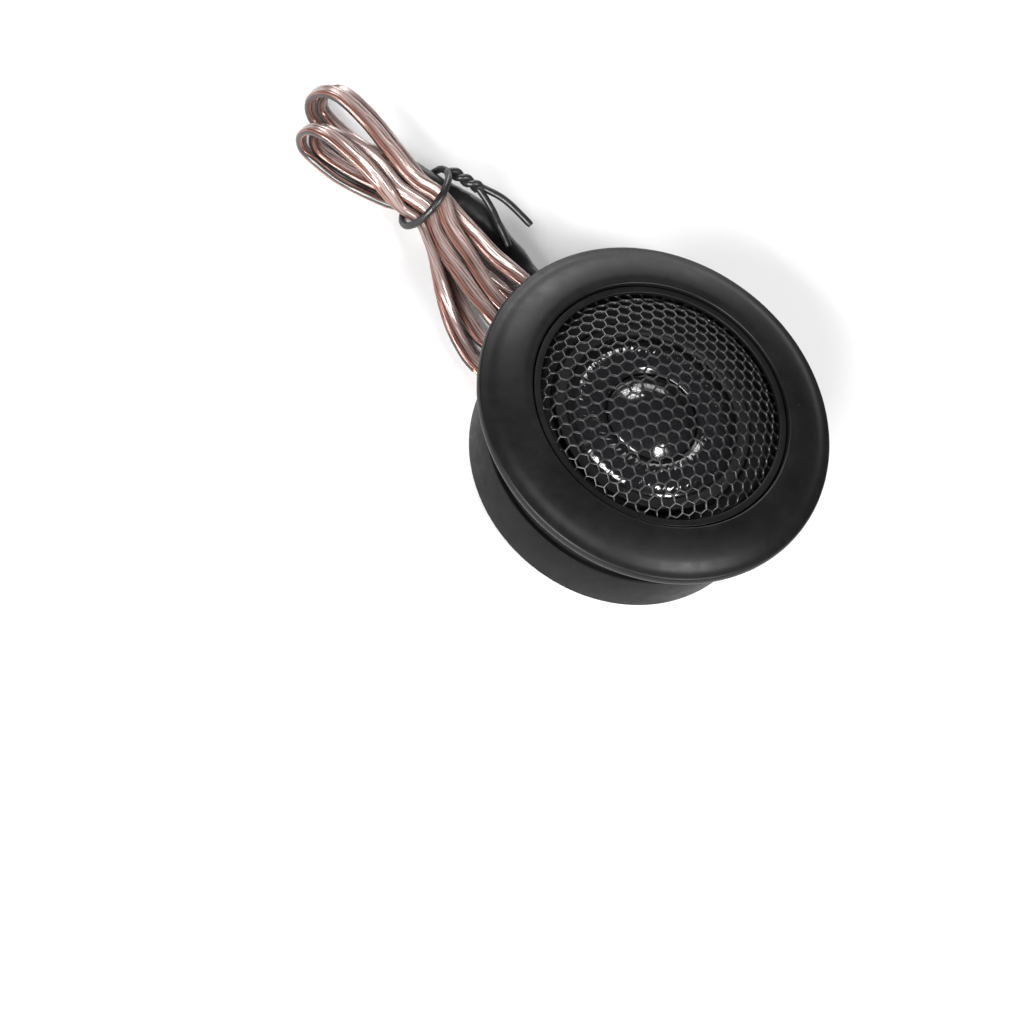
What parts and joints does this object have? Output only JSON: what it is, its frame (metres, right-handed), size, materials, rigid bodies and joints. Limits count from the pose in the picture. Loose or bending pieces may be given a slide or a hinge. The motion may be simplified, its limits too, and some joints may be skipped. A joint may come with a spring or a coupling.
{
  "type": "car tweeter",
  "caption": "Round flush-mount car tweeter with a wide flange, domed hexagonal mesh grille, sprung dome diaphragm, and a two-core speaker lead folded in a tied hank.",
  "frame": {"origin": "centre of the housing's rear face, on the surface that the tweeter stands on", "axes": "+Z along the speaker's axis, from the rear face to the grille; -X towards the folded lead"},
  "size_m": [0.1024, 0.056, 0.0255],
  "materials": {
    "satin_plastic": "black moulded plastic, satin with a fine grain",
    "matt_plastic": "black moulded plastic, matt",
    "mesh_paint": "black satin paint on pressed steel mesh",
    "film": "thin glossy dark film",
    "steel": "zinc plated steel",
    "nickel": "nickel plate on a sintered magnet",
    "copper": "bare copper",
    "tinned": "tinned copper strands",
    "brass": "brass, tinned at the solder joints",
    "former": "amber polyimide film",
    "fibre": "brown fibre board",
    "felt": "grey pressed felt",
    "foam": "black open cell foam",
    "rubber": "black rubber",
    "clear_pvc": "clear soft PVC over a copper core and a tinned core",
    "heat_shrink": "black heat-shrink tube, satin",
    "can_sleeve": "blue shrink sleeve on the capacitor's can",
    "tie_pvc": "black PVC over soft iron wire"
  },
  "bodies": {
    "housing": {"front_bezel": "satin_plastic", "barrel": "satin_plastic", "rear_cup": "satin_plastic", "cable_grommet": "rubber", "rear_screw_1": "steel", "rear_screw_2": "steel", "rear_screw_3": "steel", "grille_mesh": "mesh_paint", "grille_ring": "satin_plastic", "driver_basket": "matt_plastic", "face_plate": "matt_plastic", "driver_screw_1": "steel", "driver_screw_2": "steel", "driver_screw_3": "steel", "diaphragm_ring": "matt_plastic", "surround": "film", "yoke_cup": "steel", "magnet": "nickel", "pole_plate": "steel", "pole_felt_pad": "felt", "rear_foam_pad": "foam", "terminal_board": "fibre", "terminal_tag_positive": "brass", "terminal_tag_negative": "brass", "lead_core_positive": "copper", "lead_core_negative": "tinned", "coil_lead_positive": "copper", "coil_lead_negative": "copper", "lead_from_housing": "clear_pvc", "heat_shrink_sleeve": "heat_shrink", "capacitor": "can_sleeve", "cable_hank": "clear_pvc", "twist_tie": "tie_pvc"},
    "diaphragm": {"diaphragm_dome": "film", "voice_coil_former": "former", "voice_coil_winding": "copper"}
  },
  "joints": [
    {"name": "diaphragm_travel", "type": "slide", "parent": "housing", "child": "diaphragm", "axis": [0, 0, 1], "range_m": [-0.0004, 0.0004], "stiffness_N_per_m": 40, "deforming": ["surround", "coil_lead_positive", "coil_lead_negative"]}
  ]
}
